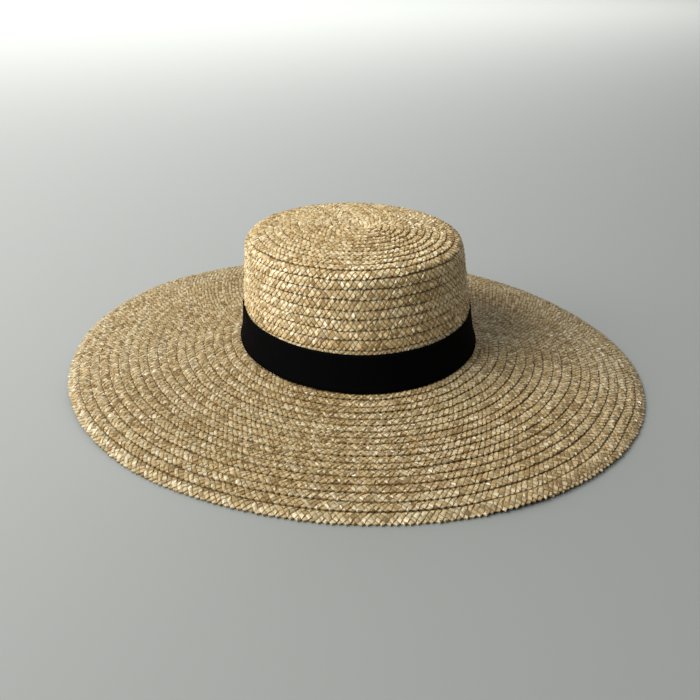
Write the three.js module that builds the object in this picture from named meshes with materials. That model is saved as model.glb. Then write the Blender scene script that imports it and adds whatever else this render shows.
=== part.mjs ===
// Wide-brim straw hat: a boater crown and a wide soft brim of sewn wheat-straw plait, with a plain
// ribbon band. It lies on a table: part of the brim's edge touches it and the rest lifts a little.
// Millimetres, +Z up, the front of the hat towards -Y, its left side towards +X. The origin is the
// middle of the footprint, on the table.
import * as THREE from "three";

// The crown line is the oval where the crown meets the brim.
const CROWN_HALF_WIDTH = 90.7;
const CROWN_HALF_LENGTH = 97.7;
const CROWN_LINE_HEIGHT = 25.3;
const CROWN_HEIGHT = 84.7;
const TIP_DOME = 7.4;
const DOME_POWER = 2.5;
// The shoulder turns over from the upright side to the slope of the dome: its round, in degrees.
const SHOULDER_RADIUS = 10;
const SHOULDER_TURN = 76;
// How far the side has drawn in at the ribbon's top edge, and at the shoulder.
const RIBBON_TAPER = 3.6;
const SHOULDER_TAPER = 8.7;
const TAPER_CURVE = 1.3;

// The crown sits a little askew on the soft brim: rise of its line for each mm to the right or
// back, and sideways drift for each mm of height.
const TILT = { x: 0.07, y: 0.049 };
const LEAN = { x: -0.031, y: 0.033 };
// The tip is nearly level, so it slopes against the crown line, and the side above the ribbon is
// higher at the front. The middle of the tip's rounds lies off the axis.
const TIP_SLOPE = { x: -0.044, y: -0.048 };
const TIP_SHIFT = { x: 2, y: -6.4 };

// Straw wall and its rounds of plait. Each round lies over the next one out or down.
const STRAW_THICKNESS = 2;
const STEP_HEIGHT = 1;
const STEP_RUN = 0.5;
const TIP_ROUND = 6;
const SIDE_ROUND = 6.7;
const FIRST_SIDE_STEP = 37.6;
// Where the shoulder's two steps lie, in degrees of its turn.
const SHOULDER_STEPS = [20, 55];
const BRIM_WIDTH = 136.3;
const EDGE_ROUND = 10.5;
const BRIM_ROUNDS = 18;

// The brim's section falls quickly near the crown, levels out and turns down at the edge.
const BRIM_SWAY = 0.11;
const BRIM_UNDERSIDE_SPANS = 8;

const RIBBON_HEIGHT = 29.3;
const RIBBON_THICKNESS = 0.8;
const RIBBON_LIFT = 0.4;
const RIBBON_SPANS = 3;

const GAP = 0.3;
const FLAT_TIP_RADIUS = 14;
const OVAL_START_RADIUS = 12;
const SEGMENTS = 54;

// The brim's edge, counter-clockwise from the hat's left side (+X), every 20 degrees: how high its
// underside lifts off the table, and how much further out it reaches than BRIM_WIDTH.
const EDGE_ROWS = [
  { angle: 0, lift: 1.3, reach: -4.4 },
  { angle: 20, lift: 1.9, reach: -2.3 },
  { angle: 40, lift: 2.7, reach: -0.4 },
  { angle: 60, lift: 5.0, reach: 0.6 },
  { angle: 80, lift: 8.6, reach: 1.2 },
  { angle: 100, lift: 12.0, reach: 2.2 },
  { angle: 120, lift: 10.8, reach: 3.6 },
  { angle: 140, lift: 6.6, reach: 4.0 },
  { angle: 160, lift: 2.4, reach: 2.4 },
  { angle: 180, lift: 0.5, reach: -0.2 },
  { angle: 200, lift: 0.4, reach: -2.6 },
  { angle: 220, lift: 0.4, reach: -2.8 },
  { angle: 240, lift: 0.3, reach: -1.1 },
  { angle: 260, lift: 0.5, reach: -0.2 },
  { angle: 280, lift: 0.6, reach: -0.3 },
  { angle: 300, lift: 0.3, reach: -1.8 },
  { angle: 320, lift: 0.2, reach: -4.2 },
  { angle: 340, lift: 0.3, reach: -5.2 },
];

const straw = new THREE.MeshStandardMaterial({ color: 0xc8ad7c, roughness: 0.55, metalness: 0 });
const strawBrim = new THREE.MeshStandardMaterial({ color: 0xbfa474, roughness: 0.55, metalness: 0 });
const ribbonCloth = new THREE.MeshStandardMaterial({ color: 0x0c0c0e, roughness: 0.9, metalness: 0 });

const point = (radius, height) => new THREE.Vector2(radius, height);

const shoulderMiddle = point(
  CROWN_HALF_WIDTH - SHOULDER_TAPER - SHOULDER_RADIUS,
  CROWN_HEIGHT - SHOULDER_RADIUS * Math.sin(THREE.MathUtils.degToRad(SHOULDER_TURN)),
);
const TIP_RADIUS = onShoulder(SHOULDER_RADIUS, SHOULDER_TURN).x;

// A point of the shoulder's round, at an angle in degrees from the side over to the tip.
function onShoulder(radius, degrees) {
  const angle = THREE.MathUtils.degToRad(degrees);
  return point(radius * Math.cos(angle), radius * Math.sin(angle)).add(shoulderMiddle);
}

// Value of one column of EDGE_ROWS at an angle in radians, on a smooth closed curve.
function edgeValue(column, angle) {
  const count = EDGE_ROWS.length;
  const turn = ((angle / (2 * Math.PI)) % 1 + 1) % 1;
  const place = turn * count;
  const first = Math.floor(place);
  const t = place - first;
  const row = (step) => EDGE_ROWS[(first + step + count) % count][column];
  const slopeIn = (row(1) - row(-1)) / 2;
  const slopeOut = (row(2) - row(0)) / 2;
  const rise = row(1) - row(0);
  return row(0) + slopeIn * t + (3 * rise - 2 * slopeIn - slopeOut) * t ** 2 +
    (slopeIn + slopeOut - 2 * rise) * t ** 3;
}

// Place of a height on the side, from 0 at the ribbon's top edge to 1 at the shoulder.
function shareOfSide(height) {
  return (height - RIBBON_HEIGHT) / (shoulderMiddle.y - RIBBON_HEIGHT);
}

// How far the crown's outer face has drawn in at a height above the crown line.
function taper(height) {
  if (height < RIBBON_HEIGHT)
    return RIBBON_TAPER * (1 - (1 - height / RIBBON_HEIGHT) ** TAPER_CURVE);
  return RIBBON_TAPER + (SHOULDER_TAPER - RIBBON_TAPER) * shareOfSide(height);
}

// Height of the tip's outer face above the crown line, flat in the middle.
function tipHeight(radius) {
  const share = Math.max(radius, FLAT_TIP_RADIUS) / TIP_RADIUS;
  return CROWN_HEIGHT + TIP_DOME * (1 - share ** DOME_POWER);
}

const crownLineHeight = (x, y) => CROWN_LINE_HEIGHT + TILT.x * x + TILT.y * y;

// A point of the oval plan that runs at one distance inside or outside the crown line. The oval
// closes to a point at the axis.
function ovalPoint(radius, cos, sin) {
  const longer = CROWN_HALF_LENGTH - CROWN_HALF_WIDTH;
  const stretch = longer * Math.min(1, radius / OVAL_START_RADIUS);
  return { x: radius * cos, y: (radius + stretch) * sin };
}

// Crown and ribbon: a round turning is made oval, tilted and leant.
function placeOnCrown(radius, cos, sin, height) {
  const inward = Math.max(0, 1 - radius / TIP_RADIUS);
  const plan = ovalPoint(radius, cos, sin);
  const x = plan.x + TIP_SHIFT.x * inward;
  const y = plan.y + TIP_SHIFT.y * inward;
  const share = THREE.MathUtils.clamp(shareOfSide(height), 0, 1);
  const z = crownLineHeight(x, y) + height + share * (TIP_SLOPE.x * x + TIP_SLOPE.y * y);
  return { x: x + LEAN.x * height, y: y + LEAN.y * height, z };
}

// Brim: height counts from its underside, which runs from the crown line down to the edge.
function placeOnBrim(radius, cos, sin, height) {
  const out = radius - CROWN_HALF_WIDTH;
  const line = ovalPoint(CROWN_HALF_WIDTH, cos, sin);
  const angle = Math.atan2(sin, cos);
  const share = Math.max(0, out / BRIM_WIDTH);
  const fall = share + BRIM_SWAY * Math.sin(2 * Math.PI * share);
  const foot = out > 0 ? line : ovalPoint(radius, cos, sin);
  const inner = crownLineHeight(foot.x, foot.y) - GAP - STRAW_THICKNESS;
  const under = inner + (edgeValue("lift", angle) - inner) * fall;
  const { x, y } = ovalPoint(radius + edgeValue("reach", angle) * share, cos, sin);
  return { x, y, z: under + height };
}

// Turns a profile of (radius, height) points round the axis and puts every point in its place.
function turned(profile, place) {
  const geometry = new THREE.LatheGeometry(profile, SEGMENTS);
  geometry.rotateX(Math.PI / 2);
  const position = geometry.getAttribute("position");
  for (let i = 0; i < position.count; i++) {
    const radius = Math.hypot(position.getX(i), position.getY(i));
    const cos = radius > 0 ? position.getX(i) / radius : 1;
    const sin = radius > 0 ? position.getY(i) / radius : 0;
    const { x, y, z } = place(radius, cos, sin, position.getZ(i));
    position.setXYZ(i, x, y, z);
  }
  geometry.computeVertexNormals();
  return geometry;
}

// Outer face of the side, smooth under the ribbon and stepped at the foot of each round above it.
function sideOutside() {
  const face = (height, proud) => point(CROWN_HALF_WIDTH - taper(height) + proud, height);
  const points = [0, 10, 20, RIBBON_HEIGHT].map((height) => face(height, 0));
  for (let height = FIRST_SIDE_STEP; height < shoulderMiddle.y; height += SIDE_ROUND) {
    points.push(face(height, -STEP_HEIGHT / 2));
    points.push(face(height + STEP_RUN, STEP_HEIGHT / 2));
  }
  return points;
}

// Outer face of the shoulder, stepped like the side.
function shoulderOutside() {
  const run = THREE.MathUtils.radToDeg(STEP_RUN / SHOULDER_RADIUS);
  const points = SHOULDER_STEPS.flatMap((degrees) => [
    onShoulder(SHOULDER_RADIUS - STEP_HEIGHT / 2, degrees),
    onShoulder(SHOULDER_RADIUS + STEP_HEIGHT / 2, degrees + run),
  ]);
  points.push(onShoulder(SHOULDER_RADIUS, SHOULDER_TURN));
  return points;
}

// Outer face of the tip from the shoulder to the axis, stepped down at the rim of each round.
function tipOutside() {
  const points = [];
  for (let radius = TIP_RADIUS - TIP_ROUND; radius > TIP_ROUND; radius -= TIP_ROUND) {
    points.push(point(radius + STEP_RUN, tipHeight(radius) - STEP_HEIGHT / 2));
    points.push(point(radius, tipHeight(radius) + STEP_HEIGHT / 2));
  }
  points.push(point(0, tipHeight(0)));
  return points;
}

function crownInside() {
  const face = (height) => point(CROWN_HALF_WIDTH - taper(height) - STRAW_THICKNESS, height);
  const tip = [0, FLAT_TIP_RADIUS, TIP_RADIUS * 0.5, TIP_RADIUS * 0.8];
  const turn = [SHOULDER_TURN, SHOULDER_TURN * 2 / 3, SHOULDER_TURN / 3, 0];
  const side = [RIBBON_HEIGHT, 20, 10, 0];
  return [
    ...tip.map((radius) => point(radius, tipHeight(radius) - STRAW_THICKNESS)),
    ...turn.map((degrees) => onShoulder(SHOULDER_RADIUS - STRAW_THICKNESS, degrees)),
    ...side.map(face),
  ];
}

function crown() {
  const profile = [
    ...crownInside(),
    ...sideOutside(),
    ...shoulderOutside(),
    ...tipOutside(),
  ];
  const mesh = new THREE.Mesh(turned(profile, placeOnCrown), straw);
  mesh.name = "crown";
  return mesh;
}

// Upper face of the brim, flat under the foot of the crown and then stepped down at the rim of each
// round.
function brimTop() {
  const round = (BRIM_WIDTH - EDGE_ROUND) / (BRIM_ROUNDS - 1);
  const points = [
    point(CROWN_HALF_WIDTH - STRAW_THICKNESS, STRAW_THICKNESS),
    point(CROWN_HALF_WIDTH, STRAW_THICKNESS),
  ];
  for (let i = 1; i < BRIM_ROUNDS; i++) {
    const radius = CROWN_HALF_WIDTH + i * round;
    points.push(point(radius - STEP_RUN, STRAW_THICKNESS + STEP_HEIGHT / 2));
    points.push(point(radius, STRAW_THICKNESS - STEP_HEIGHT / 2));
  }
  return points;
}

function brimUnderside() {
  return Array.from({ length: BRIM_UNDERSIDE_SPANS }, (_, i) =>
    point(CROWN_HALF_WIDTH + BRIM_WIDTH * (1 - i / BRIM_UNDERSIDE_SPANS), 0),
  );
}

function brim() {
  const profile = [
    ...brimTop(),
    point(CROWN_HALF_WIDTH + BRIM_WIDTH, STRAW_THICKNESS),
    ...brimUnderside(),
    point(CROWN_HALF_WIDTH - STRAW_THICKNESS, 0),
  ].reverse();
  profile.push(profile[0].clone());
  const mesh = new THREE.Mesh(turned(profile, placeOnBrim), strawBrim);
  mesh.name = "brim";
  return mesh;
}

function ribbonBand() {
  const spans = Array.from({ length: RIBBON_SPANS + 1 }, (_, i) => i / RIBBON_SPANS);
  const face = (share, proud) => {
    const height = RIBBON_LIFT + share * RIBBON_HEIGHT;
    return point(CROWN_HALF_WIDTH - taper(height) + GAP + proud, height);
  };
  const outside = spans.map((share) => face(share, RIBBON_THICKNESS));
  const inside = spans.map((share) => face(share, 0)).reverse();
  const profile = [...outside, ...inside, outside[0].clone()];
  const mesh = new THREE.Mesh(turned(profile, placeOnCrown), ribbonCloth);
  mesh.name = "ribbon_band";
  return mesh;
}

const hat = new THREE.Group();
hat.add(crown(), brim(), ribbonBand());

// The middle of the footprint, and the lowest point of the brim, come to the origin.
const box = new THREE.Box3().setFromObject(hat, true);
const middle = box.getCenter(new THREE.Vector3());
hat.position.set(-middle.x, -middle.y, -box.min.z);

export default hat;
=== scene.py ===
"""Wide-brim straw hat, lying on a pale floor.

One long straw plait is wound from the middle of the tip, over the shoulder, down the side and out
to the edge of the brim, as such a hat is sewn. A plain black ribbon goes round the crown's foot.
The file is laid out as an add-on and is run as a script.
"""

import math

import bmesh
import bpy
import numpy as np
from bpy.props import FloatProperty, FloatVectorProperty, IntProperty, PointerProperty
from bpy.types import Operator, Panel, PropertyGroup
from mathutils import Euler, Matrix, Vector


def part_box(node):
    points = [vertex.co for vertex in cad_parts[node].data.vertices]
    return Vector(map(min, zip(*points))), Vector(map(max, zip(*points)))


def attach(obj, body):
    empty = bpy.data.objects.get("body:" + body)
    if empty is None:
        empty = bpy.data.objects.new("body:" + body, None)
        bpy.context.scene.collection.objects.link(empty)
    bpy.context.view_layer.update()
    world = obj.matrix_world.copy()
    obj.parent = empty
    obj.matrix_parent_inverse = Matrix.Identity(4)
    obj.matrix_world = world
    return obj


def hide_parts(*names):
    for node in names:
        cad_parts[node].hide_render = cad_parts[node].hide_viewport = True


bl_info = {
    "name": "Sewn Straw Hat",
    "version": (1, 0, 0),
    "blender": (4, 5, 0),
    "location": "View3D > Sidebar > Straw Hat",
    "description": "Winds a straw plait into a wide-brim hat, with its ribbon, stage and camera",
    "category": "Add Mesh",
}

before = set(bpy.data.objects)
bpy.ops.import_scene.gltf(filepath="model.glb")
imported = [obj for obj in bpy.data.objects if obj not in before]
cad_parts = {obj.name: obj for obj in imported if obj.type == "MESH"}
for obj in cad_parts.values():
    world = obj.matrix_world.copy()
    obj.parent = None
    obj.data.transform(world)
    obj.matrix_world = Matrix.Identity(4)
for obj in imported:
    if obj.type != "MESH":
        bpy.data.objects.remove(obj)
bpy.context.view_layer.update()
BODY = "root"
MM = 0.001
# Rows of splints across the plait.
PLAIT_ROWS = 4
CROWN_LOW, CROWN_HIGH = (Vector(corner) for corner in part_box("crown"))

# The brim's edge, counter-clockwise from the hat's left side (+X), every 20 degrees, in mm: how
# high its underside lifts off the floor, and how much further out it reaches than the brim width.
EDGE_ROWS = [
    {"lift": 1.3, "reach": -4.4},
    {"lift": 1.9, "reach": -2.3},
    {"lift": 2.7, "reach": -0.4},
    {"lift": 5.0, "reach": 0.6},
    {"lift": 8.6, "reach": 1.2},
    {"lift": 12.0, "reach": 2.2},
    {"lift": 10.8, "reach": 3.6},
    {"lift": 6.6, "reach": 4.0},
    {"lift": 2.4, "reach": 2.4},
    {"lift": 0.5, "reach": -0.2},
    {"lift": 0.4, "reach": -2.6},
    {"lift": 0.4, "reach": -2.8},
    {"lift": 0.3, "reach": -1.1},
    {"lift": 0.5, "reach": -0.2},
    {"lift": 0.6, "reach": -0.3},
    {"lift": 0.3, "reach": -1.8},
    {"lift": 0.2, "reach": -4.2},
    {"lift": 0.3, "reach": -5.2},
]


def length(name, description, default):
    return FloatProperty(
        name=name, description=description, default=default, unit="LENGTH", precision=5
    )


def number(name, description, default):
    return FloatProperty(name=name, description=description, default=default, precision=4)


def degrees(name, description, default):
    return FloatProperty(
        name=name, description=description, default=math.radians(default), subtype="ANGLE"
    )


def power(name, description, default):
    return FloatProperty(name=name, description=description, default=default, unit="POWER")


def colour(name, description, default):
    return FloatVectorProperty(
        name=name, description=description, default=default, size=3, min=0, max=1, subtype="COLOR"
    )


class HatSizes(PropertyGroup):
    """The hat's driving sizes, the same as in the solids."""

    half_width: length("Half width", "Outside of the crown line, across the head", 0.0907)
    half_length: length("Half length", "Outside of the crown line, front to back", 0.0977)
    line_height: length("Crown line", "Height of the crown line over the floor", 0.0253)
    crown_height: length("Crown height", "Crown line to the tip's rim", 0.0847)
    tip_dome: length("Tip dome", "Rise of the tip's middle over its rim", 0.0074)
    dome_power: number("Dome power", "How far out the dome stays flat", 2.5)
    shoulder: length("Shoulder", "Outer radius between tip and side", 0.010)
    shoulder_turn: degrees("Shoulder turn", "How far the shoulder turns from side to tip", 76)
    ribbon_taper: length("Lower taper", "How far the side draws in up to the ribbon's top", 0.0036)
    shoulder_taper: length("Upper taper", "How far the side draws in up to the shoulder", 0.0087)
    taper_curve: number("Taper curve", "How strongly the foot of the side flares", 1.3)
    foot_radius: length("Foot radius", "Bend between the side and the brim", 0.004)
    brim_width: length("Brim width", "Crown line to the edge", 0.1363)
    brim_sway: number("Brim sway", "Hollow of the brim's section between crown and edge", 0.11)
    wall: length("Wall", "Thickness of the straw wall in the solids", 0.002)
    gap: length("Gap", "Clearance between the solids", 0.0003)
    tilt_x: number("Tilt X", "Rise of the crown line to the hat's left", 0.07)
    tilt_y: number("Tilt Y", "Rise of the crown line to the back", 0.049)
    lean_x: number("Lean X", "Sideways drift of the crown for its height", -0.031)
    lean_y: number("Lean Y", "Backward drift of the crown for its height", 0.033)
    slope_x: number("Tip slope X", "Rise of the tip against the crown line, to the left", -0.044)
    slope_y: number("Tip slope Y", "Rise of the tip against the crown line, to the back", -0.048)
    shift_x: length("Tip shift X", "Middle of the tip's rounds off the axis, to the left", 0.002)
    shift_y: length("Tip shift Y", "Middle of the tip's rounds off the axis, to the back", -0.0064)
    flat_tip: length("Flat tip", "Radius of the tip's flat middle", 0.014)


class PlaitSizes(PropertyGroup):
    """The straw plait and how it is wound."""

    width: length("Width", "Width of the plait", 0.0103)
    period: length("Period", "Length of plait from one splint to the next", 0.0042)
    sheet: length("Sheet", "Half thickness of the plait at the splints' crossings", 0.00032)
    crown_of_splint: length("Splint rise", "How far a splint's middle stands up", 0.0011)
    loop: length("Loops", "How far the loops at the rim stand out", 0.00045)
    layer: length("Layer", "Height from one round to the one that it overlaps", 0.0012)
    tip_round: length("Tip round", "What shows of a round on the tip", 0.0060)
    side_round: length("Side round", "What shows of a round on the side", 0.0067)
    brim_round: length("Brim round", "What shows of a round on the brim", 0.00735)
    edge_round: length("Edge round", "What shows of the last round", 0.0086)
    tail_angle: degrees("Tail angle", "Where the plait's tail ends at the brim's edge", -105.7)
    wander: length("Wander", "How unevenly the rounds are sewn", 0.0004)
    edge_wave: length("Edge wave", "How unevenly the brim's edge runs", 0.0003)
    wobble: length("Wobble", "How far the splints lie out of their places", 0.0003)
    bulge: length("Bulge", "How far the middle of what shows of a round stands out", 0.0009)
    seed: IntProperty(name="Seed", description="Start of the random numbers", default=11)


class StrawColours(PropertyGroup):
    """Colours of the straw and the ribbon."""

    pale: colour("Pale", "Bleached splints", (0.98, 0.83, 0.52))
    gold: colour("Gold", "Most splints", (0.76, 0.54, 0.24))
    brown: colour("Brown", "Weathered splints", (0.40, 0.25, 0.09))
    green: colour("Green", "Splints cut early", (0.55, 0.50, 0.24))
    # Painted shade: mixed into the straw's colour in the gaps round the splints and in the grooves
    # under the rounds, where shadow falls.
    shade: colour("Shade", "Between the splints", (0.12, 0.068, 0.021))
    ribbon: colour("Ribbon", "Ribbon cloth", (0.0012, 0.0012, 0.0014))


class RibbonSizes(PropertyGroup):
    """The band round the foot of the crown."""

    height: length("Height", "Width of the ribbon", 0.0293)
    lift: length("Lift", "Its lower edge over the crown line", 0.0004)
    thickness: length("Thickness", "Thickness of the ribbon", 0.0006)
    off: length("Off", "Its inner face over the crown's outer face", 0.0010)
    lap: length("Lap", "How far its end laps over its start", 0.016)
    lap_angle: degrees("Lap angle", "Where the ribbon is joined, out of sight behind the hat", 100)


class StageSizes(PropertyGroup):
    """Floor, camera and light."""

    azimuth: degrees("Azimuth", "The camera's turn, from the front to the hat's left", -45.68)
    distance: length("Distance", "Camera to the crown's axis, along the floor", 0.6352)
    aside: length("Aside", "How far the camera stands left of the crown's axis", 0.0059)
    height: length("Height", "Camera over the floor", 0.3118)
    pitch: degrees("Pitch", "How far the camera looks down", 25.62)
    lens: number("Lens", "Focal length in mm on a 36 mm sensor", 43.13)
    floor: colour("Floor", "Floor colour", (0.175, 0.182, 0.170))
    key: power("Key light", "Power of the window light", 28.5)
    back: power("Back light", "Power of the wide light behind, for the floor alone", 1050.0)
    ceiling: power("Ceiling", "Power of the soft light from above", 11.0)
    sky: number("Sky", "Strength of the soft light from all round", 0.21)


def smooth_step(low, high, value):
    t = np.clip((value - low) / (high - low), 0, 1)
    return t * t * (3 - 2 * t)


def edge_value(column, angle):
    """A column of EDGE_ROWS at an angle, in metres, on a smooth closed curve."""
    values = np.array([row[column] for row in EDGE_ROWS]) * MM
    count = len(values)
    place = np.mod(angle / (2 * np.pi), 1) * count
    first = np.floor(place).astype(int)
    t = place - first
    before, here, after, next_on = (values[(first + step) % count] for step in (-1, 0, 1, 2))
    slope_in = (after - before) / 2
    slope_out = (next_on - here) / 2
    rise = after - here
    bend = 3 * rise - 2 * slope_in - slope_out
    return here + slope_in * t + bend * t**2 + (slope_in + slope_out - 2 * rise) * t**3


class HatForm:
    """The middle surface of the straw wall: angle round the hat, and distance along its section."""

    STEP = 0.25 * MM
    PAST_EDGE = 15 * MM
    RIBBON_TOP = 29.3 * MM

    def __init__(self, sizes):
        self.sizes = sizes
        self.axis = (CROWN_LOW + CROWN_HIGH) / 2
        tilt = math.hypot(sizes.tilt_x * sizes.half_width, sizes.tilt_y * sizes.half_length)
        self.seat = CROWN_LOW.z - (sizes.line_height - tilt)
        self.longer = sizes.half_length - sizes.half_width
        self.middle = sizes.wall / 2
        self.bend_radius = sizes.half_width - sizes.shoulder_taper - sizes.shoulder
        self.bend_height = sizes.crown_height - sizes.shoulder * math.sin(sizes.shoulder_turn)
        self.tip_radius = self.bend_radius + sizes.shoulder * math.cos(sizes.shoulder_turn)
        self.lay_section()

    def taper(self, height):
        """How far the crown's outer face has drawn in at a height over the crown line."""
        s = self.sizes
        foot = self.RIBBON_TOP
        low = np.clip(height / foot, 0, 1)
        lower = s.ribbon_taper * (1 - (1 - low) ** s.taper_curve)
        rest = np.clip((height - foot) / (self.bend_height - foot), 0, 1)
        return lower + (s.shoulder_taper - s.ribbon_taper) * rest

    def tip_height(self, radius):
        share = np.maximum(radius, self.sizes.flat_tip) / self.tip_radius
        return self.sizes.crown_height + self.sizes.tip_dome * (1 - share**self.sizes.dome_power)

    def lay_section(self):
        """Radius and height of the middle surface, from the tip's middle to past the edge."""
        s = self.sizes
        turn = np.linspace(s.shoulder_turn, 0, 24)
        bend = s.shoulder - self.middle
        tip = np.arange(0, self.bend_radius + bend * math.cos(s.shoulder_turn), self.STEP)
        foot_height = s.foot_radius - self.middle
        side = np.arange(self.bend_height, foot_height, -self.STEP)
        foot = s.half_width - float(self.taper(foot_height)) - self.middle
        foot_turn = np.linspace(0, math.pi / 2, 24)
        far = s.half_width + s.brim_width + self.PAST_EDGE
        radius = np.concatenate([
            tip,
            self.bend_radius + bend * np.cos(turn),
            s.half_width - self.taper(side) - self.middle,
            foot + s.foot_radius * (1 - np.cos(foot_turn)),
            [far],
        ])
        height = np.concatenate([
            self.tip_height(tip) - self.middle,
            self.bend_height + bend * np.sin(turn),
            side,
            foot_height - s.foot_radius * np.sin(foot_turn),
            [-self.middle],
        ])
        steps = np.hypot(np.diff(radius), np.diff(height))
        self.section_along = np.concatenate([[0], np.cumsum(steps)])
        self.section_radius = radius
        self.section_height = height
        self.edge = float(np.interp(far - self.PAST_EDGE, radius[-2:], self.section_along[-2:]))
        self.line = self.edge - s.brim_width
        self.shoulder_along = float(self.section_along[len(tip)])

    def point(self, angle, along):
        s = self.sizes
        radius = np.interp(along, self.section_along, self.section_radius)
        height = np.interp(along, self.section_along, self.section_height)
        share = np.clip((radius - s.half_width) / s.brim_width, 0, None)
        cos = np.cos(angle)
        sin = np.sin(angle)
        reach = radius + edge_value("reach", angle) * share
        inner = np.minimum(radius, s.half_width)
        inward = np.maximum(1 - radius / self.tip_radius, 0)
        shift_x = s.shift_x * inward
        shift_y = s.shift_y * inward
        line_x = inner * cos + shift_x
        line_y = (inner + self.longer) * sin + shift_y
        line = s.line_height + s.tilt_x * line_x + s.tilt_y * line_y
        fall = share + s.brim_sway * np.sin(2 * np.pi * share)
        drop = (edge_value("lift", angle) - (line - s.gap - s.wall)) * fall
        rise = np.maximum(height, 0)
        foot = self.RIBBON_TOP
        share = np.clip((rise - foot) / (self.bend_height - foot), 0, 1)
        slope = share * (s.slope_x * line_x + s.slope_y * line_y)
        x = self.axis.x + reach * cos + shift_x + s.lean_x * rise
        y = self.axis.y + (reach + self.longer) * sin + shift_y + s.lean_y * rise
        z = self.seat + line + height + drop + slope
        return np.stack([x, y, z], axis=-1)

    def normal(self, angle, along):
        """Outward normal of the middle surface."""
        turn = 1e-3
        run = 0.3 * MM
        inward = np.maximum(along - run, 0)
        across = self.point(angle, along + run) - self.point(angle, inward)
        round_hat = self.point(angle + turn, along) - self.point(angle - turn, along)
        cross = np.cross(across, round_hat)
        size = np.linalg.norm(cross, axis=-1, keepdims=True)
        s = self.sizes
        up = np.array([-s.tilt_x - s.slope_x, -s.tilt_y - s.slope_y, 1.0])
        cross = np.where(size > 1e-12, cross / np.maximum(size, 1e-12), up)
        return cross / np.linalg.norm(cross, axis=-1, keepdims=True)


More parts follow.
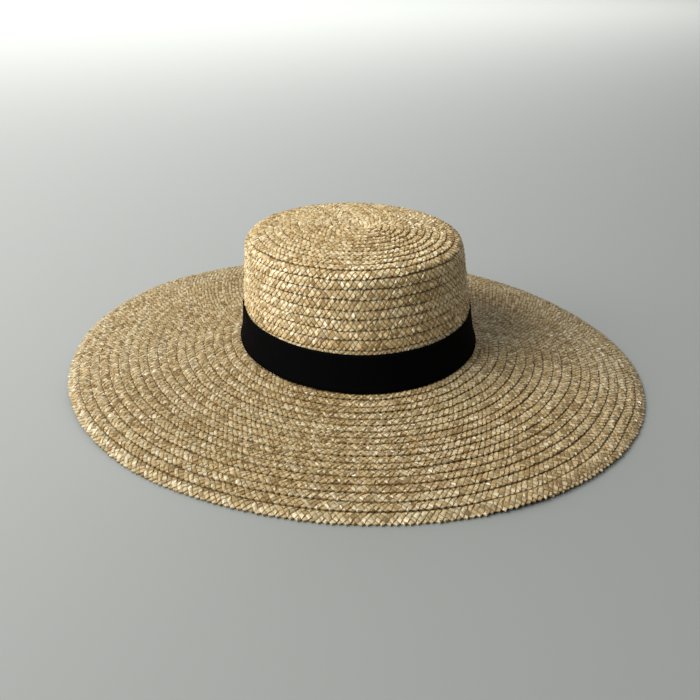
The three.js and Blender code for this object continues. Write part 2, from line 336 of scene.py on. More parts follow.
class Winding:
    """The spiral of plait. A turn is counted inwards from the tail at the brim's edge."""

    # The plait starts this far from the middle of the tip.
    BUTTON = 5 * MM
    ROUND_STEP = 0.02
    TURN_STEP = 1 / 720
    # Turns over which the plait leaves the edge and goes in beside its own tail.
    COVER = (1.0, 1.08)
    # Turns over which the next round out begins to hide the plait's lower face.
    COVER_BELOW = (1.09, 1.12)
    # The even spiral's count of rounds is this far behind the turns, and the steps at the tail
    # fade into it over this many turns.
    EVEN_FROM = 0.545
    STAIR_FADE = 2.5
    # Heights over the crown line between which the ribbon stops pressing the plait flat.
    PRESSED_TO = (28 * MM, 31 * MM)
    # How far the first round's outer rim hangs, in layers.
    DROOP = 1.3
    # What the lower face has of the bulge of a round.
    LOWER_BULGE = 0.35

    def __init__(self, form, plait):
        self.form = form
        self.plait = plait
        random = np.random.RandomState(plait.seed)
        self.waves = random.uniform(0, 2 * np.pi, 5)
        self.lay_rounds()
        self.measure()

    def round_width(self, along):
        """What shows of a round at a distance along the section."""
        p = self.plait
        side = self.form.shoulder_along
        line = self.form.line
        places = [0, side - 8 * MM, side + 6 * MM, line, line + 8 * MM]
        widths = [p.tip_round * 0.97, p.tip_round * 1.03, p.side_round, p.side_round, p.brim_round]
        return float(np.interp(along, places, widths))

    def lay_rounds(self):
        """Distance of each round's outer rim inside the edge."""
        depth = [0.0]
        while depth[-1] < self.form.edge - self.BUTTON:
            count = (len(depth) - 1) * self.ROUND_STEP
            along = self.form.edge - depth[-1]
            width = self.plait.edge_round if count < 1 else self.round_width(along)
            depth.append(depth[-1] + width * self.ROUND_STEP)
        self.depth = np.array(depth)
        self.rounds = np.arange(len(depth)) * self.ROUND_STEP
        self.turns = self.rounds[-1] + self.EVEN_FROM

    def ramp(self, turn):
        """Steady at first and quick at the end, as the tail widens from its point."""
        share = np.clip((turn - self.COVER[0]) / (self.COVER[1] - self.COVER[0]), 0, 1)
        return 0.55 * share + 0.45 * smooth_step(0.45, 1, share)

    def round_count(self, turn):
        """Rounds outside this one: in steps at the tail for the outer rounds, even further in."""
        whole = np.floor(turn - self.COVER[0])
        ramp = self.ramp(turn - whole)
        stairs = np.maximum(whole + ramp, 0)
        even = np.maximum(turn - self.EVEN_FROM, 0)
        weight = np.exp(-np.maximum(turn - self.COVER[1], 0) / self.STAIR_FADE)
        return weight * stairs + (1 - weight) * even

    def outer_rim(self, turn):
        """Distance along the section of the plait's outer rim, which is sewn a little unevenly."""
        count = self.round_count(turn)
        rim = self.form.edge - np.interp(count, self.rounds, self.depth)
        a, b, c, d, e = self.waves
        slow = np.sin(turn * 9.1 + d)
        wander = np.sin(turn * 23.0 + a) + np.sin(turn * 41.3 + b) + np.sin(turn * 67.9 + c)
        wander = wander + slow + np.sin(turn * 131.0 + e) * 0.5
        edge = self.plait.edge_wave / 2 * (wander - slow) * smooth_step(0, 0.06, turn)
        edge = edge * (1 - np.clip(turn - 1.0, 0, 1))
        return rim + edge + self.plait.wander / 2 * wander * np.clip(turn - 1.2, 0, 1)

    def measure(self):
        """Length of plait from the button at the tip's middle to each turn."""
        turn = np.arange(self.turns, -self.TURN_STEP, -self.TURN_STEP)
        rim = self.outer_rim(turn)
        middle = (rim + np.maximum(rim - self.plait.width, 0)) / 2
        places = self.form.point(self.angle(turn), middle)
        steps = np.linalg.norm(np.diff(places, axis=0), axis=1)
        self.turn_table = turn
        self.length_table = np.concatenate([[0], np.cumsum(steps)])
        self.length = float(self.length_table[-1])

    def angle(self, turn):
        return self.plait.tail_angle + 2 * np.pi * turn

    def length_at(self, along):
        """Length of plait where its outer rim first reaches a distance along the section."""
        rim = self.outer_rim(self.turn_table)
        return float(np.interp(along, np.maximum.accumulate(rim), self.length_table))

    def lay(self, run, across, lift):
        """Places points of the straight plait: run along it, across from its inner rim, lift up."""
        p = self.plait
        turn = np.interp(run, self.length_table, self.turn_table)
        rim = self.outer_rim(turn)
        inner = np.maximum(rim - p.width, 0)
        along = inner + (rim - inner) * across / p.width
        shown = np.clip(rim - self.outer_rim(turn + 1), 0.7 * p.brim_round, None)
        slope = p.layer / shown
        covers = 1 - smooth_step(self.COVER[0], self.COVER[1], turn)
        covers = covers * smooth_step(self.COVER[0] - 0.05, self.COVER[0] - 0.01, turn)
        tail = 1 - smooth_step(0, 0.012, turn)
        droop = self.DROOP * smooth_step(0.35 * p.width, p.width, across)
        droop = droop * (1 - smooth_step(self.COVER[0], self.COVER[1], turn))
        layer = slope * (across - p.width / 2) + p.layer * (covers - 0.5 * tail - droop)
        place = np.clip(1 - (p.width - across) / shown, 0, 1)
        bulge = p.bulge * (4 * place * (1 - place) - 0.6)
        height = np.interp(along, self.form.section_along, self.form.section_height)
        pressed = smooth_step(0, 2 * MM, height) * (1 - smooth_step(*self.PRESSED_TO, height))
        layer = layer + np.where(lift > 0, 1, self.LOWER_BULGE) * bulge * (1 - 0.8 * pressed)
        lift = lift * (1 - 0.4 * pressed)
        angle = self.angle(turn)
        return self.form.point(angle, along) + self.form.normal(angle, along) * (
            (layer + lift)[..., None]
        )

    def seen_above(self, run, across):
        """Place across what shows of the plait, from 0 at the round that lies over it to 1."""
        turn = np.interp(run, self.length_table, self.turn_table)
        shown = np.clip(self.outer_rim(turn) - self.outer_rim(turn + 1), 0.5 * MM, None)
        middle = smooth_step(self.turns - 1.2, self.turns - 1, turn)
        return (1 - middle) * (1 - (self.plait.width - across) / shown) + 0.5 * middle

    def seen_below(self, run, across):
        """The same from below, where each round is partly covered by the next one out."""
        turn = np.interp(run, self.length_table, self.turn_table)
        shown = np.clip(self.outer_rim(turn - 1) - self.outer_rim(turn), 0.5 * MM, None)
        free = 1 - smooth_step(*self.COVER_BELOW, turn)
        return (1 - free) * (1 - across / shown) + free


def new_material(name):
    material = bpy.data.materials.new(name)
    material.use_nodes = True
    tree = material.node_tree
    return material, tree, tree.nodes["Principled BSDF"]


def straight_plait(bm, periods, plait, side):
    """One face of the plait, flat and straight: a lattice of splints, each with a raised middle.

    side is 1 for the upper face and -1 for the lower one. The row that the next round hides stays
    plain.
    """
    row = plait.width / PLAIT_ROWS
    made = bmesh.ops.create_grid(bm, x_segments=periods, y_segments=PLAIT_ROWS // 2, size=1)
    verts = made["verts"]
    bmesh.ops.translate(bm, vec=(1, 1, 0), verts=verts)
    scale = (periods * plait.period / 2, plait.width / 2, 1)
    bmesh.ops.scale(bm, vec=scale, verts=verts)
    bmesh.ops.translate(bm, vec=(0, 0, side * plait.sheet), verts=verts)
    # Sets of mesh elements come out in another order each run, so dictionaries stand in for them.
    faces = list(dict.fromkeys(face for vert in verts for face in vert.link_faces))
    faces = bmesh.ops.poke(bm, faces=faces)["faces"]
    edges = dict.fromkeys(edge for face in faces for edge in face.edges)
    squares = [
        edge for edge in edges
        if len(edge.link_faces) == 2
        and min(abs(edge.verts[0].co.x - edge.verts[1].co.x),
                abs(edge.verts[0].co.y - edge.verts[1].co.y)) < row / 8
    ]
    bmesh.ops.dissolve_edges(bm, edges=squares, use_verts=False, use_face_split=False)
    level = side * plait.sheet
    rims = [
        edge for edge in bm.edges
        if len(edge.link_faces) == 1
        and abs(edge.verts[0].co.z - level) < 1e-7
        and abs(edge.verts[0].co.y - edge.verts[1].co.y) < row / 8
    ]
    bmesh.ops.subdivide_edges(bm, edges=rims, cuts=1)
    hidden = 0 if side > 0 else PLAIT_ROWS
    splints = [
        face for face in bm.faces
        if abs(face.verts[0].co.z - level) < 1e-7
        and abs(face.calc_center_median().y / row - hidden) > 0.6
    ]
    bmesh.ops.inset_individual(bm, faces=splints, thickness=0.07 * row * 2, use_even_offset=True)
    long_edges = []
    for face in splints:
        if len(face.verts) != 4:
            continue
        centre = face.calc_center_median()
        line = round(centre.y / row)
        if line in (0, PLAIT_ROWS):
            continue
        rising = (line % 2 == 1) == (side > 0)
        for edge in face.edges:
            run = edge.verts[1].co - edge.verts[0].co
            if (run.x * run.y > 0) == rising:
                long_edges.append(edge)
    bmesh.ops.subdivide_edges(bm, edges=long_edges, cuts=1)
    domes = [face for face in splints if len(face.verts) == 6]
    bmesh.ops.poke(bm, faces=domes)
    if side < 0:
        lower = [face for face in bm.faces if abs(face.calc_center_median().z - level) < 1e-7]
        bmesh.ops.reverse_faces(bm, faces=lower)


def splint_cell(x, y, plait):
    """Column and row of the splint at a point of the straight plait, and the place within it."""
    half = plait.period / 2
    row = plait.width / PLAIT_ROWS
    rising = (x / half + y / row) / 2
    falling = (x / half - y / row) / 2
    cell_rising = np.floor(rising).astype(int)
    cell_falling = np.floor(falling).astype(int)
    column = cell_rising + cell_falling + 1
    line = cell_rising - cell_falling
    along_rising = (rising - cell_rising) * 2 - 1
    along_falling = (falling - cell_falling) * 2 - 1
    return column, line, along_rising, along_falling


def corner_cell(centre_x, centre_y, x, y, plait):
    """As splint_cell, for corners of a face whose centre is given."""
    half = plait.period / 2
    row = plait.width / PLAIT_ROWS
    column, line, _, _ = splint_cell(centre_x, centre_y, plait)
    across_columns = x / half - column
    across_rows = y / row - line
    return column, line, across_columns + across_rows, across_columns - across_rows


def first_column(start, plait):
    """Column of splints at which a length of plait starts."""
    return int(round(start / (plait.period / 2)))


def read(collection, name, size, kind=np.float32):
    values = np.empty(len(collection) * size, dtype=kind)
    collection.foreach_get(name, values)
    return values.reshape(-1, size) if size > 1 else values


def straight_mesh(name, periods, plait):
    """A closed mesh of the straight plait, with both its faces."""
    bm = bmesh.new()
    straight_plait(bm, periods, plait, 1)
    straight_plait(bm, periods, plait, -1)
    open_edges = [edge for edge in bm.edges if len(edge.link_faces) == 1]
    bmesh.ops.bridge_loops(bm, edges=open_edges)
    mesh = bpy.data.meshes.new(name)
    bm.to_mesh(mesh)
    bm.free()
    return mesh


class Splints:
    """What differs from splint to splint along the whole plait."""

    # Strands that take turns in the plait, and the columns of splints that one straw lasts.
    STRANDS = 7
    STRAW_COLUMNS = 60

    def __init__(self, winding):
        plait = winding.plait
        random = np.random.RandomState(plait.seed + 1)
        self.columns = int(winding.length / (plait.period / 2)) + 8
        self.chances = random.uniform(-1, 1, (self.columns, PLAIT_ROWS + 2, 4))
        self.straws = random.uniform(
            0, 1, (self.STRANDS, self.columns // self.STRAW_COLUMNS + 4, 2)
        )

    def place(self, column, line):
        return np.clip(column, 0, self.columns - 1), np.clip(line, 0, PLAIT_ROWS)

    def straw(self, place, line, goes_up, upper):
        """Two values of the straw that a splint belongs to."""
        strand = np.where(goes_up, place - line, place + line) // 2 + np.where(upper, 0, 3)
        piece = np.clip(strand // self.STRAW_COLUMNS + 1, 0, self.straws.shape[1] - 1)
        return self.straws[strand % self.STRANDS, piece]


def wind_straw(mesh, flat, start, periods, winding, splints):
    """Raises each splint, winds the plait into its place, and returns the place across it."""
    plait = winding.plait
    x, y, z = flat.T
    column, line, rising, falling = splint_cell(x, y, plait)
    chance = splints.chances[splints.place(column + first_column(start, plait), line)]
    upper = z > 0
    goes_up = (line % 2 == 1) == upper
    along = np.where(goes_up, rising, falling)
    across = np.where(goes_up, falling, rising)
    inside = (np.abs(rising) < 0.97) & (np.abs(falling) < 0.97)
    rim = (y < 1e-6) | (y > plait.width - 1e-6)
    arch = (1 - along**2) * (1 - 0.6 * across**2)
    tilt = 0.4 * chance[:, 1] * along + 0.5 * chance[:, 2] * across
    rise = plait.crown_of_splint * (arch * (1 + 0.3 * chance[:, 0]) + tilt)
    rise = np.where(inside, np.maximum(rise, 0.05 * MM), 0)
    rise = np.where(rim & inside, 0.75 * plait.crown_of_splint, rise)
    lift = np.where(upper, z + rise, z - 0.6 * rise)

    # Loops stand out at the rims, most at the hat's edge, with a notch between two of them.
    outer = y > plait.width / 2
    push = np.where(rim & inside, plait.loop * (1 + 0.5 * chance[:, 3]), 0)
    push = np.where(rim & ~inside, -0.8 * plait.loop, push)
    last_round = smooth_step(winding.length - 1.5, winding.length - 1.4, start + x)
    push = push * np.where(outer, 1 + 0.9 * last_round, 1)
    y_out = y + np.where(outer, push, -push)

    # The splints lie a little out of their places, apart from those at a piece's ends.
    wobble = plait.wobble * np.clip(periods * plait.period - x, 0, plait.period) / plait.period
    wobble = wobble * np.clip(x, 0, plait.period) / plait.period
    run = (start + x) / MM
    skew = np.sin(run / 1.21 + y / MM / 1.7) + np.sin(run / 0.83 - y / MM / 1.3 + 2)
    side_skew = np.sin(run / 0.97 - y / MM / 2.1 + 1) + np.sin(run / 1.43 + y / MM / 1.1)
    middle = 1 - np.abs(2 * y / plait.width - 1) ** 4
    y_out = y_out + 0.5 * wobble * side_skew * middle
    placed = winding.lay(start + x + wobble * skew, y_out, lift)
    mesh.vertices.foreach_set("co", placed.astype(np.float32).ravel())
    return y_out


def add_uv(mesh, name, *values):
    layer = mesh.uv_layers.new(name=name)
    layer.data.foreach_set("uv", np.stack(values, axis=-1).astype(np.float32).ravel())


def mark_straw(mesh, flat, y_out, start, winding, splints):
    """Gives each corner its splint's tone, and its places in the splint and in the round."""
    plait = winding.plait
    corner_vert = read(mesh.loops, "vertex_index", 1, np.int32)
    totals = read(mesh.polygons, "loop_total", 1, np.int32)
    face_of = np.repeat(np.arange(len(totals)), totals)
    centre = np.stack([
        np.bincount(face_of, weights=flat[corner_vert, axis]) / totals for axis in range(3)
    ])
    x, y, _ = flat[corner_vert].T
    column, line, rising, falling = corner_cell(
        centre[0][face_of], centre[1][face_of], x, y, plait
    )
    upper = centre[2][face_of] >= -1e-6
    goes_up = (line % 2 == 1) == upper
    along = np.where(goes_up, rising, falling)
    across = np.where(goes_up, falling, rising)
    place, line = splints.place(column + first_column(start, plait), line)
    kind = splints.straw(place, line, goes_up, upper)
    own = splints.chances[place, line]
    tone = 0.55 * kind[:, 0] + 0.45 * (0.5 + 0.5 * own[:, 3])
    tint = np.stack([tone, kind[:, 1], np.zeros_like(tone), np.ones_like(tone)], axis=-1)
    colours = mesh.color_attributes.new("straw", "FLOAT_COLOR", "CORNER")
    colours.data.foreach_set("color", tint.astype(np.float32).ravel())
    add_uv(mesh, "fibre", along * 2 + own[:, 0] * 9, across * 2 + own[:, 1] * 9)
    add_uv(mesh, "cell", along, across)
    run = start + flat[:, 0]
    above = winding.seen_above(run, y_out)[corner_vert]
    below = winding.seen_below(run, y_out)[corner_vert]
    add_uv(mesh, "round", run[corner_vert], np.where(upper, above, below))


def straw_mesh(name, start, periods, winding):
    """A length of plait, wound into its place on the hat."""
    mesh = straight_mesh(name, periods, winding.plait)
    flat = read(mesh.vertices, "co", 3).astype(float)
    splints = Splints(winding)
    y_out = wind_straw(mesh, flat, start, periods, winding, splints)
    mark_straw(mesh, flat, y_out, start, winding, splints)
    mesh.update()
    mesh.shade_smooth()
    mesh.set_sharp_from_angle(angle=math.radians(50))
    return mesh


def add_piece(name, mesh, material, node):
    piece = bpy.data.objects.new(name, mesh)
    bpy.context.collection.objects.link(piece)
    mesh.materials.append(material)
    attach(piece, BODY)
    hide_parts(node)
    return piece


def add_node(tree, kind, inputs, **settings):
    """A node with its settings, and with its inputs set to values or linked to other sockets."""
    node = tree.nodes.new(kind)
    for name, value in settings.items():
        setattr(node, name, value)
    for name, value in inputs.items():
        if isinstance(value, bpy.types.NodeSocket):
            tree.links.new(value, node.inputs[name])
        else:
            node.inputs[name].default_value = value
    return node


def add_math(tree, operation, *values):
    node = add_node(tree, "ShaderNodeMath", dict(enumerate(values)), operation=operation)
    return node.outputs["Value"]


def new_group(name, inputs, outputs):
    """A node group with sockets of the named kinds, and its first and last node."""
    group = bpy.data.node_groups.new(name, "ShaderNodeTree")
    for direction, sockets in (("INPUT", inputs), ("OUTPUT", outputs)):
        for socket, kind in sockets.items():
            group.interface.new_socket(socket, in_out=direction, socket_type="NodeSocket" + kind)
    return group, group.nodes.new("NodeGroupInput"), group.nodes.new("NodeGroupOutput")


def fibre_group():
    """Fine lengthwise fibres of a splint: a mask for colour and a height for bump."""
    name = "splint fibres"
    if name in bpy.data.node_groups:
        return bpy.data.node_groups[name]
    group, start, end = new_group(
        name, {"Vector": "Vector", "Fineness": "Float"}, {"Mask": "Float", "Height": "Float"}
    )
    stretch = add_node(group, "ShaderNodeMapping", {
        "Vector": start.outputs["Vector"],
        "Scale": (0.3, 1.3, 1),
    })
    noise = add_node(group, "ShaderNodeTexNoise", {
        "Vector": stretch.outputs["Vector"],
        "Scale": start.outputs["Fineness"],
        "Detail": 3,
    })
    contrast = add_node(group, "ShaderNodeMapRange", {
        "Value": noise.outputs["Fac"],
        "From Min": 0.35,
        "From Max": 0.55,
    })
    group.links.new(contrast.outputs["Result"], end.inputs["Mask"])
    group.links.new(noise.outputs["Fac"], end.inputs["Height"])
    return group


def gap_shade_group():
    """Painted shade in the gaps round a splint, where it tucks under its neighbours: faint along
    its sides, deep at its ends and corners.
    """
    name = "splint gaps"
    if name in bpy.data.node_groups:
        return bpy.data.node_groups[name]
    group, start, end = new_group(name, {"Cell": "Vector"}, {"Mask": "Float"})
    cell = add_node(group, "ShaderNodeSeparateXYZ", {"Vector": start.outputs["Cell"]})
    ends = add_math(group, "ABSOLUTE", cell.outputs["X"])
    sides = add_math(group, "ABSOLUTE", cell.outputs["Y"])
    tucked = add_math(group, "POWER", ends, 4)
    faint = add_math(group, "MULTIPLY", add_math(group, "POWER", sides, 6), 0.5)
    corner = add_math(group, "POWER", add_math(group, "MULTIPLY", ends, sides), 2)
    mask = add_math(group, "MAXIMUM", add_math(group, "MAXIMUM", tucked, faint), corner)
    group.links.new(mask, end.inputs["Mask"])
    return group


def straw_tones(tree, colours, painted_brightness, tint, places):
    """Straw from weathered to bleached, in patches, with some splints greener. Every tone is scaled
    by the brightness, which on the brim is painted shade.
    """
    def dimmed(colour):
        return (*(c * painted_brightness for c in colour), 1)

    patches = add_node(tree, "ShaderNodeTexNoise", {"Vector": places, "Scale": 34, "Detail": 4})
    weathered = add_node(tree, "ShaderNodeMapRange", {
        "Value": patches.outputs["Fac"],
        "From Min": 0.3,
        "From Max": 0.7,
        "To Min": -0.13,
        "To Max": 0.13,
    })
    tone = add_math(tree, "ADD", tint.outputs["Red"], weathered.outputs["Result"])
    tones = add_node(tree, "ShaderNodeValToRGB", {"Fac": tone})
    stops = tones.color_ramp.elements
    stops[0].position = 0.08
    stops[0].color = dimmed(colours.brown)
    stops[1].position = 0.92
    stops[1].color = dimmed(colours.pale)
    stops.new(0.42).color = dimmed(colours.gold)
    green = add_node(tree, "ShaderNodeMapRange", {
        "Value": tint.outputs["Green"],
        "From Min": 0.80,
        "From Max": 0.98,
        "To Max": 0.35,
    })
    greened = add_node(tree, "ShaderNodeMix", {
        "Factor": green.outputs["Result"],
        "A": tones.outputs["Color"],
        "B": dimmed(colours.green),
    }, data_type="RGBA")
    return greened.outputs["Result"]


def groove_shade_mask(tree, places, width):
    """Painted shade in the groove where a round goes in under the next, with a ragged edge."""
    band = add_node(tree, "ShaderNodeUVMap", {}, uv_map="round")
    place = add_node(tree, "ShaderNodeSeparateXYZ", {"Vector": band.outputs["UV"]})
    uneven = add_node(tree, "ShaderNodeTexNoise", {"Vector": places, "Scale": 190})
    ragged = add_math(tree, "MULTIPLY_ADD", uneven.outputs["Fac"], 0.22, place.outputs["Y"])
    groove_shade = add_node(tree, "ShaderNodeMapRange", {
        "Value": ragged,
        "From Min": width + 0.2,
        "From Max": width + 0.1,
        "To Max": 0.84,
    }, interpolation_type="SMOOTHSTEP")
    return groove_shade.outputs["Result"]


def add_bump(tree, shader, height, strength):
    bump = add_node(tree, "ShaderNodeBump", {
        "Height": height,
        "Strength": strength,
        "Distance": 0.2 * MM,
    })
    tree.links.new(bump.outputs["Normal"], shader.inputs["Normal"])


def straw_material(name, colours, painted_brightness, groove_width):
    """Glossy straw, with painted shade between the splints and in the grooves. groove_width is the
    groove's share of what shows of a round.
    """
    material, tree, shader = new_material(name)
    marks = add_node(tree, "ShaderNodeAttribute", {}, attribute_name="straw")
    tint = add_node(tree, "ShaderNodeSeparateColor", {"Color": marks.outputs["Color"]})
    places = add_node(tree, "ShaderNodeTexCoord", {}).outputs["Object"]
    along = add_node(tree, "ShaderNodeUVMap", {}, uv_map="fibre")
    fibres = add_node(tree, "ShaderNodeGroup", {
        "Vector": along.outputs["UV"],
        "Fineness": 2.2,
    }, node_tree=fibre_group())
    streak = add_node(tree, "ShaderNodeMix", {
        "Factor": 0.5,
        "A": straw_tones(tree, colours, painted_brightness, tint, places),
        "B": fibres.outputs["Mask"],
    }, data_type="RGBA", blend_type="MULTIPLY")

    cell = add_node(tree, "ShaderNodeUVMap", {}, uv_map="cell")
    gap_shade = add_node(
        tree, "ShaderNodeGroup", {"Cell": cell.outputs["UV"]}, node_tree=gap_shade_group()
    )
    groove_shade = groove_shade_mask(tree, places, groove_width)
    # Painted shade: the straw is mixed toward the shade colour in the gaps and grooves, where
    # shadow would fall.
    painted_shade = add_math(tree, "MAXIMUM", gap_shade.outputs["Mask"], groove_shade)
    shaded = add_node(tree, "ShaderNodeMix", {
        "Factor": painted_shade,
        "A": streak.outputs["Result"],
        "B": (*colours.shade, 1),
    }, data_type="RGBA")
    tree.links.new(shaded.outputs["Result"], shader.inputs["Base Color"])

    gloss = add_node(tree, "ShaderNodeMapRange", {
        "Value": tint.outputs["Red"],
        "To Min": 0.45,
        "To Max": 0.22,
    })
    tree.links.new(gloss.outputs["Result"], shader.inputs["Roughness"])
    shader.inputs["Specular IOR Level"].default_value = 0.65
    add_bump(tree, shader, fibres.outputs["Height"], 0.35)
    return material


def ribbon_material(colours):
    """Matt black cloth with fine ribs across the ribbon."""
    rib = 0.9 * MM
    material, tree, shader = new_material("black ribbon")
    shader.inputs["Base Color"].default_value = (*colours.ribbon, 1)
    shader.inputs["Roughness"].default_value = 0.85
    shader.inputs["Specular IOR Level"].default_value = 0.035
    uv = add_node(tree, "ShaderNodeUVMap", {}, uv_map="cloth")
    ribs = add_node(tree, "ShaderNodeTexWave", {
        "Vector": uv.outputs["UV"],
        "Scale": 1 / (2 * rib),
        "Distortion": 0.4,
    }, bands_direction="X")
    add_bump(tree, shader, ribs.outputs["Fac"], 0.6)
    return material


def hat_winding(context):
    return Winding(HatForm(context.scene.hat_sizes), context.scene.hat_plait)


def build_plait(context, names, low, high, node, material):
    """The plait between two distances along the section, shared out over pieces of equal length."""
    winding = hat_winding(context)
    period = winding.plait.period
    first = round(winding.length_at(low) / period)
    last = round(winding.length_at(high) / period)
    if high >= winding.form.edge:
        last = int(winding.length / period)
    marks = np.linspace(first, last, len(names) + 1).astype(int)
    for name, begin, end in zip(names, marks[:-1], marks[1:]):
        mesh = straw_mesh(name, begin * period, int(end - begin), winding)
        add_piece(name, mesh, material, node)


class HAT_OT_tip(Operator):
    """Winds the plait of the tip, from its middle to the shoulder"""

    bl_idname = "hat.wind_tip"
    bl_label = "Wind Tip"

    def execute(self, context):
        material = straw_material("crown straw", context.scene.hat_colours, 1.0, 0.13)
        form = HatForm(context.scene.hat_sizes)
        build_plait(context, ["tip_plait"], 0, form.shoulder_along, "crown", material)
        return {"FINISHED"}


class HAT_OT_side(Operator):
    """Winds the plait of the crown's side, from the shoulder to the crown line"""

    bl_idname = "hat.wind_side"
    bl_label = "Wind Side"

    def execute(self, context):
        material = bpy.data.materials["crown straw"]
        form = HatForm(context.scene.hat_sizes)
        build_plait(context, ["side_plait"], form.shoulder_along, form.line, "crown", material)
        return {"FINISHED"}


class HAT_OT_brim(Operator):
    """Winds the plait of the brim, from the crown line to the tail at its edge"""

    bl_idname = "hat.wind_brim"
    bl_label = "Wind Brim"

    def execute(self, context):
        # The brim's straw is the crown's straw dimmed to 0.74 as painted shade, not a darker straw.
        material = straw_material("brim straw with painted shade", context.scene.hat_colours, 0.74, 0.12)
        form = HatForm(context.scene.hat_sizes)
        names = ["brim_plait_inner", "brim_plait_middle", "brim_plait_outer"]
        build_plait(context, names, form.line, form.edge, "brim", material)
        return {"FINISHED"}


class HAT_OT_ribbon(Operator):
    """Lays the ribbon round the foot of the crown, with its end lapped behind"""

    bl_idname = "hat.lay_ribbon"
    bl_label = "Lay Ribbon"

    AROUND = 320
    UP = 10

    def execute(self, context):
        sizes = context.scene.hat_ribbon
        form = HatForm(context.scene.hat_sizes)
        bm = bmesh.new()
        bmesh.ops.create_grid(bm, x_segments=self.AROUND, y_segments=self.UP, size=1)
        mesh = bpy.data.meshes.new("ribbon")
        bm.to_mesh(mesh)
        bm.free()
        flat = read(mesh.vertices, "co", 3).astype(float)
        girth = 2 * np.pi * (form.sizes.half_width + form.longer / 2)
        run = (flat[:, 0] + 1) / 2 * (girth + sizes.lap)
        up = (flat[:, 1] + 1) / 2 * sizes.height
        angle = sizes.lap_angle + run / girth * 2 * np.pi
        height = sizes.lift + up
        lapped = smooth_step(girth - 0.004, girth + 0.002, run)
        off = sizes.off + 1.6 * sizes.thickness * lapped
        wave = 0.15 * MM * np.sin(angle * 5 + 1.0) + 0.1 * MM * np.sin(angle * 11 + 2.0)
        flare = 1.0 * MM * np.clip(1 - up / (3 * MM), 0, 1) ** 2
        radius = form.sizes.half_width - form.taper(height) + off + wave + flare
        cos = np.cos(angle)
        sin = np.sin(angle)
        x = radius * cos
        y = (radius + form.longer) * sin
        line = form.sizes.line_height + form.sizes.tilt_x * x + form.sizes.tilt_y * y
        placed = np.stack([
            form.axis.x + x + form.sizes.lean_x * height,
            form.axis.y + y + form.sizes.lean_y * height,
            form.seat + line + height,
        ], axis=-1)
        mesh.vertices.foreach_set("co", placed.astype(np.float32).ravel())
        corner_vert = read(mesh.loops, "vertex_index", 1, np.int32)
        cloth = np.stack([run, up], axis=-1)[corner_vert]
        uv = mesh.uv_layers.new(name="cloth")
        uv.data.foreach_set("uv", cloth.astype(np.float32).ravel())
        mesh.update()
        mesh.shade_smooth()
        material = ribbon_material(context.scene.hat_colours)
        piece = add_piece("ribbon", mesh, material, "ribbon_band")
        wall = piece.modifiers.new("thickness", "SOLIDIFY")
        wall.thickness = sizes.thickness
        wall.offset = 1
        return {"FINISHED"}


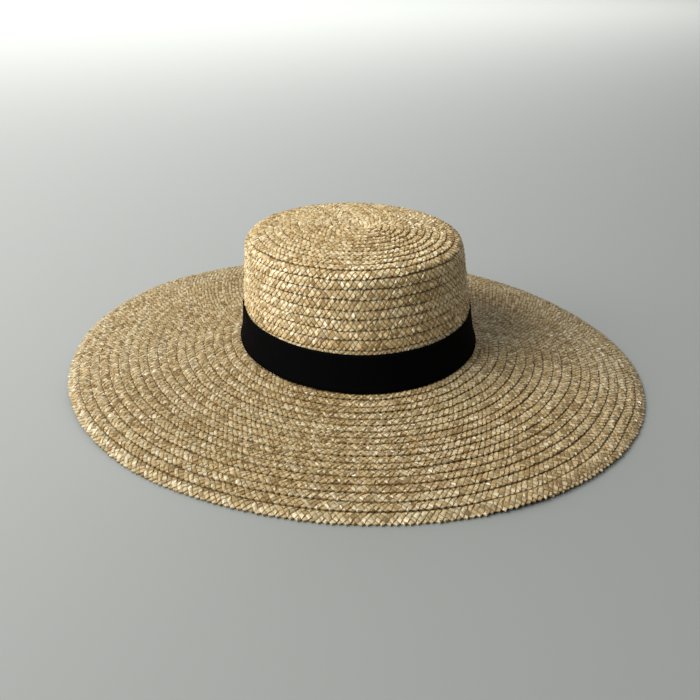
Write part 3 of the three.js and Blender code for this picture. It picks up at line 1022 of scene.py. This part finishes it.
class HAT_OT_stage(Operator):
    """Puts up the floor, the soft light and the camera"""

    bl_idname = "hat.stage"
    bl_label = "Set Stage"

    def execute(self, context):
        scene = context.scene
        sizes = scene.hat_stage
        axis = (CROWN_LOW + CROWN_HIGH) / 2
        turn = Euler((0, 0, sizes.azimuth)).to_matrix()

        bm = bmesh.new()
        bmesh.ops.create_grid(bm, x_segments=1, y_segments=1, size=20)
        mesh = bpy.data.meshes.new("floor")
        bm.to_mesh(mesh)
        bm.free()
        floor = bpy.data.objects.new("floor", mesh)
        floor.location.z = -0.0004
        context.collection.objects.link(floor)
        material, _, shader = new_material("pale floor")
        shader.inputs["Base Color"].default_value = (*sizes.floor, 1)
        shader.inputs["Roughness"].default_value = 0.9
        mesh.materials.append(material)

        data = bpy.data.cameras.new("camera")
        data.lens = sizes.lens
        data.clip_end = 20
        camera = bpy.data.objects.new("camera", data)
        stand = turn @ Vector((-sizes.aside, -sizes.distance, 0))
        camera.location = (axis.x + stand.x, axis.y + stand.y, sizes.height)
        camera.rotation_euler = (math.radians(90) - sizes.pitch, 0, sizes.azimuth)
        context.collection.objects.link(camera)
        scene.camera = camera

        window = turn @ Vector((-1.0, -0.4, 0.85))
        self.add_light("window", sizes.key, (1.1, 0.9), axis + window, window)
        ceiling = axis + Vector((0, 0, 2))
        self.add_light("ceiling", sizes.ceiling, (2.5, 2.5), ceiling, Vector((0, 0, 1)))
        above = turn @ Vector((-2.0, 5.2, 1.6))
        back = self.add_light("back", sizes.back, (8, 7.8), axis + above, Vector((0, 0, 1)))
        floor_only = bpy.data.collections.new("floor only")
        floor_only.objects.link(floor)
        back.light_linking.receiver_collection = floor_only

        world = bpy.data.worlds.new("studio")
        world.use_nodes = True
        background = world.node_tree.nodes["Background"]
        background.inputs["Color"].default_value = (0.93, 0.96, 1.0, 1)
        background.inputs["Strength"].default_value = sizes.sky
        scene.world = world
        scene.view_settings.view_transform = "Standard"
        return {"FINISHED"}

    def add_light(self, name, power, size, place, back):
        """A soft rectangular light, with its back turned to a direction."""
        data = bpy.data.lights.new(name, "AREA")
        data.shape = "RECTANGLE"
        data.size, data.size_y = size
        data.energy = power
        light = bpy.data.objects.new(name, data)
        light.location = place
        light.rotation_euler = back.to_track_quat("Z", "Y").to_euler()
        bpy.context.collection.objects.link(light)
        return light


class HAT_PT_panel(Panel):
    """Lists the steps of making the hat"""

    bl_label = "Straw Hat"
    bl_idname = "HAT_PT_panel"
    bl_space_type = "VIEW_3D"
    bl_region_type = "UI"
    bl_category = "Straw Hat"

    def draw(self, context):
        for step in STEPS:
            self.layout.operator(step.bl_idname)


STEPS = (HAT_OT_stage, HAT_OT_tip, HAT_OT_side, HAT_OT_brim, HAT_OT_ribbon)
GROUPS = {
    "hat_sizes": HatSizes,
    "hat_plait": PlaitSizes,
    "hat_colours": StrawColours,
    "hat_ribbon": RibbonSizes,
    "hat_stage": StageSizes,
}


def register():
    for name, group in GROUPS.items():
        bpy.utils.register_class(group)
        setattr(bpy.types.Scene, name, PointerProperty(type=group))
    for step in (*STEPS, HAT_PT_panel):
        bpy.utils.register_class(step)


def unregister():
    for step in (HAT_PT_panel, *reversed(STEPS)):
        bpy.utils.unregister_class(step)
    for name, group in reversed(GROUPS.items()):
        delattr(bpy.types.Scene, name)
        bpy.utils.unregister_class(group)


def main():
    register()
    bpy.ops.hat.stage()
    bpy.ops.hat.wind_tip()
    bpy.ops.hat.wind_side()
    bpy.ops.hat.wind_brim()
    bpy.ops.hat.lay_ribbon()


if __name__ == "__main__":
    main()
